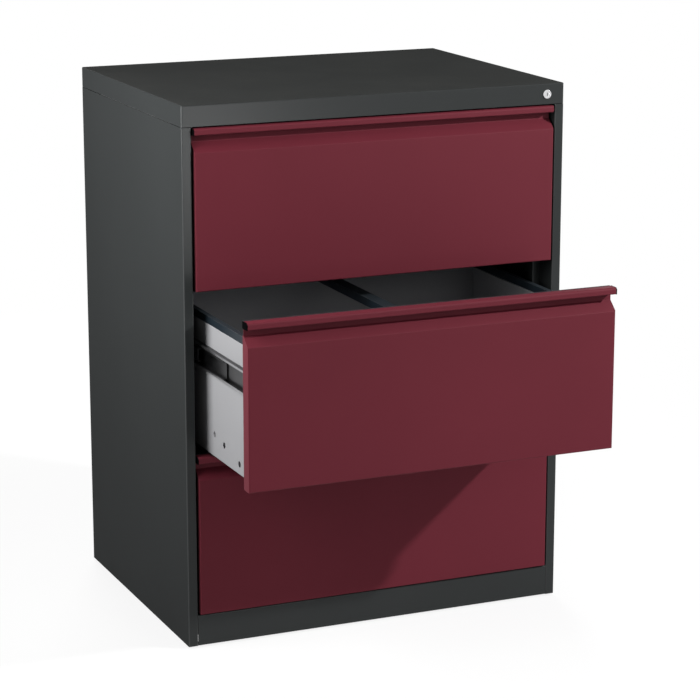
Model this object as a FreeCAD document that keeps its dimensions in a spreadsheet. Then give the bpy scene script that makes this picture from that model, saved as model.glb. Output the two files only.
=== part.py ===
"""Three-drawer filing cabinet of folded sheet steel, with three hanging rails in each drawer.

Frame: +X to the right of someone who faces the drawers, +Y to the back, +Z up, in millimetres.
The origin is on the floor, under the middle of the case. The middle drawer rests part way open.
"""
import FreeCAD, Part
import Sketcher
import math
import os

# Driving dimensions, in millimetres, and one angle in degrees
SIZES = {
    # case
    "case_width": 787.0,
    "case_depth": 590.0,
    "case_height": 1045.0,
    "case_sheet": 1.0,
    "bend_radius": 1.2,
    "sheet_clearance": 0.1,
    "top_edge_height": 40.0,
    "top_corner_radius": 3.0,
    "top_seam": 1.0,
    "stile_width": 19.0,
    "stile_depth": 50.0,
    "carrier_reach": 16.0,
    "carrier_lip": 20.0,
    "rear_flange": 24.0,
    "back_fold": 12.0,
    "plinth_height": 64.0,
    "plinth_top_flange": 60.0,
    "plinth_foot_flange": 20.0,
    "floor_flange": 30.0,
    "foot_stand": 3.0,
    "upright_setback": 70.0,
    "upright_width": 40.0,
    "bracket_sheet": 1.5,
    "bracket_drop": 30.0,
    "bracket_flange": 25.0,
    "bracket_setback": 60.0,
    "bracket_rear_setback": 120.0,
    # levelling feet
    "foot_diameter": 28.0,
    "foot_pad": 5.0,
    "foot_taper": 2.0,
    "foot_stem": 8.0,
    "foot_side_inset": 45.0,
    "foot_front_inset": 80.0,
    "foot_rear_inset": 45.0,
    # drawer fronts
    "front_floor_gap": 2.0,
    "front_gap": 3.0,
    "top_front_cut": 7.5,
    "front_side_gap": 4.5,
    "front_proud": 5.0,
    "front_thickness": 26.0,
    "front_sheet": 1.0,
    "grip_lip": 13.0,
    "grip_depth": 21.0,
    "grip_roll": 3.5,
    "grip_drop": 45.0,
    "grip_rise": 18.0,
    "grip_hem": 4.0,
    "cap_thickness": 2.0,
    "cap_plug": 6.0,
    "rest_opening": 260.0,
    # drawer boxes
    "drawer_sheet": 1.0,
    "wall_bottom": 2.0,
    "wall_headroom": 63.0,
    "wall_flange": 14.0,
    "box_rear_clearance": 42.9,
    "floor_upstand": 20.0,
    "wall_hole_diameter": 12.0,
    "front_hole_setback": 83.5,
    "front_hole_height": 20.0,
    "centre_hole_setback": 161.5,
    "centre_hole_height": 35.5,
    "rear_hole_setback": 211.5,
    "rear_hole_height": 44.0,
    "rail_height": 14.5,
    "rail_width": 10.0,
    "centre_rail_width": 26.0,
    "rail_sheet": 1.2,
    # telescopic slides
    "slide_overlap": 20.0,
    "slide_thickness": 12.7,
    "slide_height": 45.0,
    "slide_sheet": 1.2,
    "slide_setback": 30.0,
    "slide_rear_gap": 22.1,
    "slide_drop": 64.5,
    "ball_gap": 4.0,
    "member_gap": 1.6,
    "drawer_member_flange": 10.0,
    "drawer_member_lip": 4.0,
    "mid_member_flange": 7.9,
    "case_member_flange": 6.9,
    "cage_clearance": 0.2,
    "cage_sheet": 0.8,
    "cage_flange": 5.0,
    # lock
    "lock_side_inset": 36.7,
    "lock_drop": 20.7,
    "lock_bezel_diameter": 17.5,
    "lock_bezel": 2.0,
    "lock_bezel_edge": 0.6,
    "lock_body_diameter": 15.0,
    "lock_body_length": 22.0,
    "lock_plug_diameter": 11.5,
    "lock_plug_recess": 0.4,
    "lock_running_gap": 0.05,
    "keyway_width": 1.8,
    "keyway_height": 6.5,
    "keyway_depth": 8.0,
    "nut_across_flats": 20.0,
    "nut_thickness": 5.0,
    "lock_swing": 90.0,
    "cam_gap": 0.5,
    "cam_sheet": 2.0,
    "cam_hub_diameter": 13.0,
    "cam_throw": 8.0,
    "cam_arm": 9.0,
    "cam_pin_diameter": 4.0,
    "cam_pin_length": 5.0,
    "bar_sheet": 3.0,
    "bar_width": 20.0,
    "bar_setback": 21.0,
    "bar_side_gap": 4.5,
    "bar_bottom": 110.0,
    "head_sheet": 2.5,
    "head_gap": 1.0,
    "head_height": 16.0,
    "head_reach": 1.0,
    "pin_slot_clearance": 0.4,
    "tab_length": 22.0,
    "tab_width": 8.0,
    "tab_setback": 8.0,
    "tab_thickness": 4.0,
    "tab_height": 70.0,
    "tab_slot_clearance": 1.0,
    "guide_length": 24.0,
    "guide_wall": 4.0,
    "guide_clearance": 0.2,
    "guide_lower_height": 230.0,
    "guide_top_drop": 124.0,
    "catch_sheet": 1.5,
    "catch_gap": 1.0,
    "catch_lift": 2.0,
    "catch_height": 16.0,
    "catch_overlap": 7.0,
    "catch_base": 30.0,
}
DRAWERS = ("bottom", "middle", "top")
# How much of the drawer's travel each piece of a slide makes
TRAVEL_SHARES = {
    "slide_outer_members": 0.0,
    "outer_ball_cages": 0.25,
    "slide_middle_members": 0.5,
    "inner_ball_cages": 0.75,
    "slide_inner_members": 1.0,
}
CAGE_START_SHARE = 0.25
CAGE_LENGTH_SHARE = 0.5
NEAR = 1e-4

doc = FreeCAD.newDocument("filing_cabinet")


class Size:
    """A length that knows its value and the sheet expression that it comes from."""

    def __init__(self, text, value):
        self.text = text
        self.value = value

    def __add__(self, other):
        other = as_size(other)
        return Size(f"({self.text} + {other.text})", self.value + other.value)

    def __sub__(self, other):
        other = as_size(other)
        return Size(f"({self.text} - {other.text})", self.value - other.value)

    def __mul__(self, share):
        return Size(f"({self.text} * {share!r})", self.value * share)

    def __truediv__(self, share):
        return Size(f"({self.text} / {share!r})", self.value / share)

    def __neg__(self):
        return Size(f"(-{self.text})", -self.value)


ZERO = Size("0", 0.0)


def as_size(length):
    """A plain zero counts as a size too."""
    return length if isinstance(length, Size) else ZERO


def make_sheet():
    """The spreadsheet of driving dimensions, and one Size for each of its cells."""
    sheet = doc.addObject("Spreadsheet::Sheet", "dims")
    for row, (name, number) in enumerate(SIZES.items(), start=1):
        sheet.set(f"A{row}", name)
        sheet.set(f"B{row}", str(number))
        sheet.setAlias(f"B{row}", name)
    doc.recompute()
    return {name: Size(f"dims.{name}", sheet.get(name)) for name in SIZES}


S = make_sheet()

# The two axes in each origin plane; the normal of the upright plane across the cabinet points to the front
PLANES = {"XY_Plane": "xy", "XZ_Plane": "xz", "YZ_Plane": "yz"}
FORWARD_PLANE = "XZ_Plane"


def new_body(label):
    body = doc.addObject("PartDesign::Body", label)
    body.Label = label
    body.AllowCompound = True
    return body


def origin_plane(body, role):
    return next(feature for feature in body.Origin.OriginFeatures if feature.Role == role)


def tie(target, path, size):
    """Bind a property of an object to the sheet."""
    target.setExpression(path, size.text)


def new_sketch(body, plane, level):
    """An empty sketch on one of the body's own planes, moved along the plane's axis to a level."""
    sketch = body.newObject("Sketcher::SketchObject", "Sketch")
    sketch.AttachmentSupport = [(origin_plane(body, plane), "")]
    sketch.MapMode = "FlatFace"
    tie(sketch, "AttachmentOffset.Base.z", -level if plane == FORWARD_PLANE else level)
    return sketch


def pin_point(sketch, curve, point, place):
    """Fix one point of a curve at a place given in sizes."""
    for kind, axis, size in (("DistanceX", -2, place[0]), ("DistanceY", -1, place[1])):
        if abs(size.value) < NEAR:
            sketch.addConstraint(Sketcher.Constraint("PointOnObject", curve, point, axis))
        else:
            number = sketch.addConstraint(Sketcher.Constraint(kind, -1, 1, curve, point, size.value))
            tie(sketch, f"Constraints[{number}]", size)


def draw_polygon(sketch, corners):
    """A closed run of straight lines through corners given in sizes."""
    corners = [(as_size(u), as_size(v)) for u, v in corners]
    count = len(corners)
    spots = [FreeCAD.Vector(u.value, v.value, 0) for u, v in corners]
    first = sketch.GeometryCount
    for i in range(count):
        sketch.addGeometry(Part.LineSegment(spots[i], spots[(i + 1) % count]))
    for i in range(count):
        sketch.addConstraint(Sketcher.Constraint("Coincident", first + i, 2, first + (i + 1) % count, 1))
    for i, corner in enumerate(corners):
        pin_point(sketch, first + i, 1, corner)


def draw_circle(sketch, centre, diameter):
    centre = (as_size(centre[0]), as_size(centre[1]))
    middle = FreeCAD.Vector(centre[0].value, centre[1].value, 0)
    curve = sketch.addGeometry(Part.Circle(middle, FreeCAD.Vector(0, 0, 1), diameter.value / 2))
    number = sketch.addConstraint(Sketcher.Constraint("Diameter", curve, diameter.value))
    tie(sketch, f"Constraints[{number}]", diameter)
    pin_point(sketch, curve, 3, centre)


def draw_corner_sliver(sketch, corner_x, side, radius):
    """What a rounded upright edge takes off a square front corner: two lines and an arc."""
    corner = (corner_x * side, ZERO)
    inward = (corner[0] - radius * side, ZERO)
    back = (corner[0], radius)
    spots = [FreeCAD.Vector(u.value, v.value, 0) for u, v in (inward, corner, back)]
    sketch.addGeometry(Part.LineSegment(spots[0], spots[1]))
    sketch.addGeometry(Part.LineSegment(spots[1], spots[2]))
    ring = Part.Circle(FreeCAD.Vector(spots[0].x, spots[2].y, 0), FreeCAD.Vector(0, 0, 1), radius.value)
    start = -math.pi / 2 if side > 0 else math.pi
    arc = sketch.addGeometry(Part.ArcOfCircle(ring, start, start + math.pi / 2))
    arc_inward, arc_back = (1, 2) if side > 0 else (2, 1)
    sketch.addConstraint(Sketcher.Constraint("Coincident", 0, 2, 1, 1))
    sketch.addConstraint(Sketcher.Constraint("Coincident", 0, 1, arc, arc_inward))
    sketch.addConstraint(Sketcher.Constraint("Coincident", 1, 2, arc, arc_back))
    number = sketch.addConstraint(Sketcher.Constraint("Radius", arc, radius.value))
    tie(sketch, f"Constraints[{number}]", radius)
    pin_point(sketch, 0, 1, inward)
    pin_point(sketch, 1, 1, corner)
    pin_point(sketch, 1, 2, back)


def add_pad(body, plane, draw, low, high):
    """Pad a drawn outline from one level to another along the plane's axis."""
    low, high = as_size(low), as_size(high)
    sketch = new_sketch(body, plane, high if plane == FORWARD_PLANE else low)
    draw(sketch)
    pad = body.newObject("PartDesign::Pad", "Pad")
    pad.Profile = sketch
    tie(pad, "Length", high - low)
    doc.recompute()
    return pad


def add_pocket(body, plane, draw, low, high):
    """Cut a drawn outline between two levels, and make sure that it cuts something."""
    low, high = as_size(low), as_size(high)
    before = body.Shape.Volume
    sketch = new_sketch(body, plane, low if plane == FORWARD_PLANE else high)
    draw(sketch)
    pocket = body.newObject("PartDesign::Pocket", "Pocket")
    pocket.Profile = sketch
    tie(pocket, "Length", high - low)
    doc.recompute()
    if body.Shape.Volume > before - NEAR:
        raise RuntimeError(f"a pocket in {body.Label} cuts nothing")


def polygon(corners):
    return lambda sketch: draw_polygon(sketch, corners)


def rectangle(u_low, v_low, u_high, v_high):
    return polygon([(u_low, v_low), (u_high, v_low), (u_high, v_high), (u_low, v_high)])


def circle(centre, diameter):
    return lambda sketch: draw_circle(sketch, centre, diameter)


def circles(centres, diameter):
    def draw(sketch):
        for centre in centres:
            draw_circle(sketch, centre, diameter)
    return draw


def edges_along(shape, plane, spots):
    """Names of the straight edges that stand on the plane at the given in-plane spots."""
    names = []
    for number, edge in enumerate(shape.Edges, start=1):
        ends = [[getattr(vertex.Point, axis) for axis in PLANES[plane]] for vertex in edge.Vertexes]
        if len(ends) != 2 or math.dist(*ends) > NEAR:
            continue
        if any(math.dist(ends[0], spot) < NEAR for spot in spots):
            names.append(f"Edge{number}")
    return names


def add_fillet(body, edges, radius):
    if not edges:
        return
    fillet = body.newObject("PartDesign::Fillet", "Fillet")
    fillet.Base = (fillet.BaseFeature, edges)
    tie(fillet, "Radius", radius)
    doc.recompute()


def round_corners(body, plane, corners, radius):
    """Round the edges that a padded outline left at the given corners."""
    spots = [(as_size(a).value, as_size(b).value) for a, b in corners]
    add_fillet(body, edges_along(body.Shape, plane, spots), radius)


def unit(start, end):
    run = (end[0].value - start[0].value, end[1].value - start[1].value)
    length = math.hypot(*run)
    return run[0] / length, run[1] / length


def offset_path(path, thickness, side):
    """The other face of a sheet, to the left of the path for side 1 and to its right for side -1."""
    runs = [unit(path[i], path[i + 1]) for i in range(len(path) - 1)]
    normals = [(-side * run[1], side * run[0]) for run in runs]
    faced = []
    for i, (u, v) in enumerate(path):
        before = normals[max(i - 1, 0)]
        after = normals[min(i, len(normals) - 1)]
        spread = 1 + before[0] * after[0] + before[1] * after[1]
        shares = [round((before[k] + after[k]) / spread, 9) for k in (0, 1)]
        faced.append((u + thickness * shares[0], v + thickness * shares[1]))
    return faced


def split_bends(path, faced, side):
    """The bends of a sheet, as corners on their outer faces and corners on their inner faces."""
    outer, inner = [], []
    for i in range(1, len(path) - 1):
        before, after = unit(path[i - 1], path[i]), unit(path[i], path[i + 1])
        turn = side * (before[0] * after[1] - before[1] * after[0])
        outer.append(path[i] if turn > 0 else faced[i])
        inner.append(faced[i] if turn > 0 else path[i])
    return outer, inner


def add_folded(body, plane, path, thickness, side, low, high):
    """A strip of sheet that follows a path, padded from one level to another; gives back its bends."""
    path = [(as_size(u), as_size(v)) for u, v in path]
    faced = offset_path(path, thickness, side)
    add_pad(body, plane, polygon(path + faced[::-1]), low, high)
    return split_bends(path, faced, side)


def folded(label, plane, path, thickness, side, low, high):
    """A body made of one folded strip, its bends rounded on their outer faces."""
    body = new_body(label)
    outer, _ = add_folded(body, plane, path, thickness, side, low, high)
    round_corners(body, plane, outer, S["bend_radius"] + thickness)
    return body


def add_mirror(body):
    """Add the mirror image on the other side of the cabinet's middle plane."""
    mirror = body.newObject("PartDesign::Mirrored", "Mirrored")
    mirror.TransformMode = "Whole shape"
    mirror.MirrorPlane = (origin_plane(body, "YZ_Plane"), [""])
    body.Tip = mirror
    doc.recompute()


def move(body, x=ZERO, y=ZERO, z=ZERO):
    """Place a body by sizes."""
    for axis, size in zip("xyz", (x, y, z)):
        tie(body, f"Placement.Base.{axis}", size)


# Planes and lines that several pieces share
side_x = S["case_width"] / 2
front_y = -S["case_depth"] / 2
back_y = S["case_depth"] / 2
side_inner_x = side_x - S["case_sheet"]
fixed_side_x = side_inner_x - S["sheet_clearance"]
stile_x = side_x - S["stile_width"]
stile_outer_x = stile_x + S["case_sheet"]
stile_rear_y = front_y + S["stile_depth"]
carrier_x = stile_x - S["carrier_reach"]
top_edge_z = S["case_height"] - S["top_edge_height"]
panel_top_z = top_edge_z - S["top_seam"]
floor_z = S["plinth_height"] - S["case_sheet"]
upright_rear_y = back_y - S["upright_setback"]
face_y = front_y - S["front_proud"]
bottom_front_z = S["plinth_height"] + S["front_floor_gap"]
drawer_pitch = (top_edge_z - bottom_front_z + S["top_front_cut"]) / len(DRAWERS)
drawer_z = [bottom_front_z + drawer_pitch * row for row in range(len(DRAWERS))]
lock_x = side_x - S["lock_side_inset"]
lock_z = S["case_height"] - S["lock_drop"]
half_swing = math.radians(S["lock_swing"].value / 2)
bar_travel = S["cam_throw"] * (2 * math.sin(half_swing))
pin_z = lock_z - bar_travel / 2
bar_x = stile_outer_x + S["bar_side_gap"]
tab_front_y = front_y + S["bar_setback"] + S["tab_setback"]
tab_rear_y = tab_front_y + S["tab_width"]


def make_side_panel(label, side):
    """One sheet: the side wall, front stile, the carrier behind it for the slides, and rear flange."""
    carrier_rear_y = stile_rear_y + S["carrier_lip"]
    path = [
        (carrier_x * side, carrier_rear_y),
        (carrier_x * side, stile_rear_y),
        (stile_x * side, stile_rear_y),
        (stile_x * side, front_y),
        (side_x * side, front_y),
        (side_x * side, back_y),
        ((side_x - S["rear_flange"]) * side, back_y),
    ]
    body = folded(label, "XY_Plane", path, S["case_sheet"], side, S["foot_stand"], panel_top_z)
    edges = sorted((carrier_x * side, stile_x * side), key=lambda size: size.value)
    notch = rectangle(edges[0], stile_rear_y, edges[1], carrier_rear_y)
    add_pocket(body, "XY_Plane", notch, S["foot_stand"], S["plinth_height"] + S["sheet_clearance"])
    if side > 0:
        cut_tab_slots(body)


def cut_tab_slots(body):
    """Slots in the right stile's return, one for each tab of the lock bar."""
    play = S["tab_slot_clearance"]
    for bottom in drawer_z:
        tab_low = bottom + S["tab_height"]
        tab_high = tab_low + S["tab_thickness"] + bar_travel
        slot = rectangle(tab_front_y - play, tab_low - play, tab_rear_y + play, tab_high + play)
        add_pocket(body, "YZ_Plane", slot, stile_x, stile_outer_x)


def make_back_panel():
    """The rear sheet, against the sides' rear flanges."""
    rear_y = back_y - S["case_sheet"] - S["sheet_clearance"]
    fold_y = rear_y - S["back_fold"]
    foot_z = S["foot_stand"]
    path = [(fold_y, foot_z), (rear_y, foot_z), (rear_y, panel_top_z), (fold_y, panel_top_z)]
    folded("back_panel", "YZ_Plane", path, S["case_sheet"], 1, -fixed_side_x, fixed_side_x)


def make_top_panel():
    """A tray, open below, whose front edge holds the lock."""
    body = new_body("top_panel")
    corners = [(-side_x, front_y), (side_x, front_y), (side_x, back_y), (-side_x, back_y)]
    add_pad(body, "XY_Plane", polygon(corners), top_edge_z, S["case_height"])
    round_corners(body, "XY_Plane", corners, S["top_corner_radius"])
    rim = [
        f"Edge{number}"
        for number, edge in enumerate(body.Shape.Edges, start=1)
        if edge.BoundBox.ZMin > S["case_height"].value - NEAR
    ]
    add_fillet(body, rim, S["bend_radius"] + S["case_sheet"])
    inside = rectangle(-side_inner_x, front_y + S["case_sheet"], side_inner_x, back_y - S["case_sheet"])
    add_pocket(body, "XY_Plane", inside, top_edge_z, S["case_height"] - S["case_sheet"])
    hole = S["lock_body_diameter"] + S["sheet_clearance"] * 2
    add_pocket(body, "XZ_Plane", circle((lock_x, lock_z), hole), front_y, front_y + S["case_sheet"])


def make_top_brackets():
    """Angles inside the sides' upper edges, which join them to the top panel."""
    under_z = S["case_height"] - S["case_sheet"] - S["sheet_clearance"]
    start_y = front_y + S["bracket_setback"]
    path = [
        (fixed_side_x, panel_top_z - S["bracket_drop"]),
        (fixed_side_x, under_z),
        (fixed_side_x - S["bracket_flange"], under_z),
    ]
    body = folded("top_brackets", "XZ_Plane", path, S["bracket_sheet"], 1, start_y,
                  back_y - S["bracket_rear_setback"])
    add_mirror(body)


def make_plinth():
    """The skirting between the stiles, folded back at its top and foot."""
    half = stile_x - S["sheet_clearance"]
    path = [
        (front_y + S["plinth_foot_flange"], S["foot_stand"]),
        (front_y, S["foot_stand"]),
        (front_y, S["plinth_height"]),
        (front_y + S["plinth_top_flange"], S["plinth_height"]),
    ]
    folded("base_plinth", "YZ_Plane", path, S["case_sheet"], -1, -half, half)


def make_base_floor():
    """The pan that closes the case below, folded down along the sides."""
    top_z = floor_z - S["sheet_clearance"]
    front = stile_rear_y + S["case_sheet"] + S["sheet_clearance"]
    rear = back_y - S["case_sheet"] * 2 - S["sheet_clearance"] * 2
    path = [
        (-fixed_side_x, top_z - S["floor_flange"]),
        (-fixed_side_x, top_z),
        (fixed_side_x, top_z),
        (fixed_side_x, top_z - S["floor_flange"]),
    ]
    folded("base_floor", "XZ_Plane", path, S["case_sheet"], -1, front, rear)


def make_rear_uprights():
    """Channels between the floor pan and the top, which hold the rear ends of the slides."""
    path = [
        (fixed_side_x, upright_rear_y - S["upright_width"]),
        (carrier_x, upright_rear_y - S["upright_width"]),
        (carrier_x, upright_rear_y),
        (fixed_side_x, upright_rear_y),
    ]
    body = new_body("rear_uprights")
    add_folded(body, "XY_Plane", path, S["case_sheet"], -1, floor_z, panel_top_z)
    add_mirror(body)


def hexagon(centre_u, centre_v, across_flats):
    corner = across_flats / (2 * math.cos(math.pi / 6))
    turns = [math.pi / 3 * step for step in range(6)]
    return polygon([
        (centre_u + corner * math.cos(turn), centre_v + corner * math.sin(turn))
        for turn in turns
    ])


def make_feet():
    """Levelling feet: a turned pad on a six-sided spindle that reaches the floor pan."""
    body = new_body("levelling_feet")
    radius = S["foot_diameter"] / 2
    top_z = floor_z - S["sheet_clearance"] - S["case_sheet"]
    outline = [(0, 0), (radius, 0), (radius - S["foot_taper"], S["foot_pad"]), (0, S["foot_pad"])]
    foot_x = side_x - S["foot_side_inset"]
    for y in (front_y + S["foot_front_inset"], back_y - S["foot_rear_inset"]):
        add_pad(body, "XY_Plane", hexagon(foot_x, y, S["foot_stem"]), 0, top_z)
        sketch = new_sketch(body, "XZ_Plane", y)
        tie(sketch, "AttachmentOffset.Base.x", foot_x)
        draw_polygon(sketch, outline)
        turned = body.newObject("PartDesign::Revolution", "Revolution")
        turned.Profile = sketch
        turned.ReferenceAxis = (sketch, ["V_Axis"])
        doc.recompute()
    add_mirror(body)


def make_lock_housing():
    body = new_body("lock_housing")
    centre = (lock_x, lock_z)
    bezel_y = front_y - S["lock_bezel"]
    rear_y = front_y + S["lock_body_length"]
    bore = S["lock_plug_diameter"] + S["lock_running_gap"] * 2
    add_pad(body, "XZ_Plane", circle(centre, S["lock_bezel_diameter"]), bezel_y, front_y)
    rim = [
        f"Edge{number}"
        for number, edge in enumerate(body.Shape.Edges, start=1)
        if edge.BoundBox.YMax < bezel_y.value + NEAR
    ]
    edge = body.newObject("PartDesign::Chamfer", "Chamfer")
    edge.Base = (edge.BaseFeature, rim)
    tie(edge, "Size", S["lock_bezel_edge"])
    doc.recompute()
    add_pad(body, "XZ_Plane", circle(centre, S["lock_body_diameter"]), front_y, rear_y)
    add_pocket(body, "XZ_Plane", circle(centre, bore), bezel_y, rear_y)


def make_lock_nut():
    body = new_body("lock_nut")
    start_y = front_y + S["case_sheet"]
    outline = hexagon(lock_x, lock_z, S["nut_across_flats"])
    add_pad(body, "XZ_Plane", outline, start_y, start_y + S["nut_thickness"])
    bore = S["lock_body_diameter"] + S["sheet_clearance"] * 2
    add_pocket(body, "XZ_Plane", circle((lock_x, lock_z), bore), start_y, start_y + S["nut_thickness"])


cam_y = front_y + S["lock_body_length"] + S["cam_gap"]


def make_lock_plug():
    """The turning barrel, with an upright keyway in its face."""
    body = new_body("lock_plug")
    plug_y = front_y - S["lock_bezel"] + S["lock_plug_recess"]
    add_pad(body, "XZ_Plane", circle((lock_x, lock_z), S["lock_plug_diameter"]), plug_y, cam_y)
    keyway = rectangle(
        lock_x - S["keyway_width"] / 2,
        lock_z - S["keyway_height"] / 2,
        lock_x + S["keyway_width"] / 2,
        lock_z + S["keyway_height"] / 2,
    )
    add_pocket(body, "XZ_Plane", keyway, plug_y, plug_y + S["keyway_depth"])


def make_lock_cam():
    """The lever on the barrel's rear end, whose pin drives the lock bar; it rests turned down."""
    body = new_body("lock_cam")
    arm = S["cam_arm"] / 2
    add_pad(body, "XZ_Plane", circle((0, 0), S["cam_hub_diameter"]), 0, S["cam_sheet"])
    add_pad(body, "XZ_Plane", rectangle(0, -arm, S["cam_throw"] + arm, arm), 0, S["cam_sheet"])
    pin = circle((S["cam_throw"], 0), S["cam_pin_diameter"])
    add_pad(body, "XZ_Plane", pin, S["cam_sheet"], S["cam_sheet"] + S["cam_pin_length"])
    body.Placement.Rotation = FreeCAD.Rotation(FreeCAD.Vector(0, 1, 0), math.degrees(half_swing))
    move(body, lock_x, cam_y, lock_z)


def make_lock_bar():
    """The flat bar that runs up inside the right stile."""
    body = new_body("lock_bar")
    bar_y = front_y + S["bar_setback"]
    section = rectangle(bar_x, bar_y, bar_x + S["bar_sheet"], bar_y + S["bar_width"])
    add_pad(body, "XY_Plane", section, S["bar_bottom"], pin_z + S["head_height"] / 2)


def make_lock_head():
    """The forked plate on the bar's upper end, over the cam's pin."""
    body = new_body("lock_head")
    half = S["head_height"] / 2
    pin = S["cam_pin_diameter"] / 2 + S["pin_slot_clearance"]
    left_x = lock_x - S["head_reach"]
    slot_x = lock_x + S["cam_throw"] + pin
    head_y = cam_y + S["cam_sheet"] + S["head_gap"]
    fork = polygon([
        (left_x, pin_z - half),
        (bar_x, pin_z - half),
        (bar_x, pin_z + half),
        (left_x, pin_z + half),
        (left_x, pin_z + pin),
        (slot_x, pin_z + pin),
        (slot_x, pin_z - pin),
        (left_x, pin_z - pin),
    ])
    add_pad(body, "XZ_Plane", fork, head_y, head_y + S["head_sheet"])


def make_lock_tabs():
    """Tabs on the lock bar, one for each drawer, which reach in through the stile's slots."""
    body = new_body("lock_tabs")
    for bottom in drawer_z:
        tab_z = bottom + S["tab_height"]
        tab = rectangle(tab_front_y, tab_z, tab_rear_y, tab_z + S["tab_thickness"])
        add_pad(body, "YZ_Plane", tab, bar_x - S["tab_length"], bar_x)


def make_lock_bar_guides():
    """Two blocks on the right stile's return, slotted for the bar."""
    body = new_body("lock_bar_guides")
    bar_y = front_y + S["bar_setback"]
    play = S["guide_clearance"]
    wall = S["guide_wall"]
    bar_outer_x = bar_x + S["bar_sheet"]
    bar_rear_y = bar_y + S["bar_width"]
    block_x = stile_outer_x + S["sheet_clearance"]
    block = rectangle(block_x, bar_y - wall, bar_outer_x + wall, bar_rear_y + wall)
    slot = rectangle(bar_x - play, bar_y - play, bar_outer_x + play, bar_rear_y + play)
    for low in (S["guide_lower_height"], panel_top_z - S["guide_top_drop"]):
        add_pad(body, "XY_Plane", block, low, low + S["guide_length"])
        add_pocket(body, "XY_Plane", slot, low, low + S["guide_length"])


# Drawer pieces are drawn from the foot of the front's face, then moved to their row
front_half = stile_x - S["front_side_gap"]
wall_x = carrier_x - S["slide_thickness"]
wall_inner_x = wall_x - S["drawer_sheet"]
box_front_y = S["front_thickness"] + S["drawer_sheet"] + S["sheet_clearance"]
box_rear_y = back_y - face_y - S["box_rear_clearance"]
wall_top_z = drawer_pitch - S["wall_headroom"]
floor_low_z = S["wall_bottom"] + S["drawer_sheet"] + S["sheet_clearance"]
back_top_z = wall_top_z - S["drawer_sheet"] - S["sheet_clearance"]
rail_top_z = wall_top_z + S["rail_height"]


def make_front(label, height):
    """The folded skin: foot flange, face, slope into the grip, its back wall, top and rolled, hemmed lip."""
    sheet = S["front_sheet"]
    half = front_half
    face_top = height - S["grip_drop"]
    slope_top = face_top + S["grip_rise"]
    lip_foot = height - S["grip_lip"] + sheet
    path = [
        (S["front_thickness"], ZERO),
        (ZERO, ZERO),
        (ZERO, face_top),
        (S["grip_depth"], slope_top),
        (S["grip_depth"], height - sheet),
        (sheet, height - sheet),
        (sheet, lip_foot),
        (sheet + S["grip_hem"], lip_foot),
    ]
    body = new_body(label)
    outer, inner = add_folded(body, "YZ_Plane", path, sheet, -1, -half, half)
    cheek = polygon([
        (ZERO, ZERO),
        (S["front_thickness"], ZERO),
        (S["front_thickness"], slope_top),
        (S["grip_depth"], slope_top),
        (ZERO, face_top),
    ])
    add_pad(body, "YZ_Plane", cheek, half - sheet, half)
    add_pad(body, "YZ_Plane", cheek, -half, sheet - half)
    round_corners(body, "YZ_Plane", [(ZERO, height)], S["grip_roll"] + sheet)
    round_corners(body, "YZ_Plane", [(sheet, height - sheet)], S["grip_roll"])
    outer_radius = S["bend_radius"] + sheet
    round_corners(body, "YZ_Plane", outer, outer_radius)
    round_corners(body, "YZ_Plane", inner, S["bend_radius"])
    for side in (-1, 1):
        add_pocket(body, "XY_Plane", lambda sketch: draw_corner_sliver(sketch, half, side, outer_radius),
                   0, face_top + outer_radius)
    return body


def make_grip_caps(label, height):
    """Plugs that close the two ends of the hollow lip."""
    sheet = S["front_sheet"]
    gap = S["sheet_clearance"]
    half = front_half
    rear_y = S["grip_depth"] + sheet
    lip_foot = height - S["grip_lip"]
    bevel = S["grip_roll"]
    body = new_body(label)
    plate = polygon([
        (ZERO, lip_foot),
        (rear_y, lip_foot),
        (rear_y, height),
        (bevel, height),
        (ZERO, height - bevel),
    ])
    add_pad(body, "YZ_Plane", plate, half + gap, half + S["cap_thickness"])
    inset = sheet + S["bend_radius"]
    plug = rectangle(inset, lip_foot + inset, S["grip_depth"] - S["bend_radius"], height - inset)
    add_pad(body, "YZ_Plane", plug, half - S["cap_plug"], half + gap)
    add_mirror(body)
    return body


def make_liner(label, height):
    """The sheet that closes the front from behind, folded forward over the grip's back wall."""
    half = front_half - S["front_sheet"]
    rear_y = S["front_thickness"] + S["drawer_sheet"]
    top_y = S["grip_depth"] + S["front_sheet"] + S["sheet_clearance"]
    path = [(rear_y, S["front_sheet"]), (rear_y, height), (top_y, height)]
    return folded(label, "YZ_Plane", path, S["drawer_sheet"], 1, -half, half)


def make_wall(label, side):
    """A side wall folded inwards at its top and foot, with the three round holes low at the front."""
    inner_x = wall_x - S["wall_flange"]
    path = [
        (inner_x * side, S["wall_bottom"]),
        (wall_x * side, S["wall_bottom"]),
        (wall_x * side, wall_top_z),
        (inner_x * side, wall_top_z),
    ]
    body = folded(label, "XZ_Plane", path, S["drawer_sheet"], side, box_front_y, box_rear_y)
    places = [
        (box_front_y + S[f"{name}_hole_setback"], S["wall_bottom"] + S[f"{name}_hole_height"])
        for name in ("front", "centre", "rear")
    ]
    faces = sorted((wall_x * side, wall_inner_x * side), key=lambda size: size.value)
    add_pocket(body, "YZ_Plane", circles(places, S["wall_hole_diameter"]), *faces)
    return body


def make_floor(label):
    """The drawer's floor on the walls' lower folds, turned up at the front."""
    half = wall_inner_x - S["sheet_clearance"]
    path = [
        (box_front_y, floor_low_z + S["floor_upstand"]),
        (box_front_y, floor_low_z),
        (box_rear_y - S["drawer_sheet"] - S["sheet_clearance"], floor_low_z),
    ]
    return folded(label, "YZ_Plane", path, S["drawer_sheet"], 1, -half, half)


def make_back(label):
    half = wall_inner_x - S["sheet_clearance"]
    path = [
        (box_rear_y, floor_low_z),
        (box_rear_y, back_top_z),
        (box_rear_y - S["wall_flange"], back_top_z),
    ]
    return folded(label, "YZ_Plane", path, S["drawer_sheet"], 1, -half, half)


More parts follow.
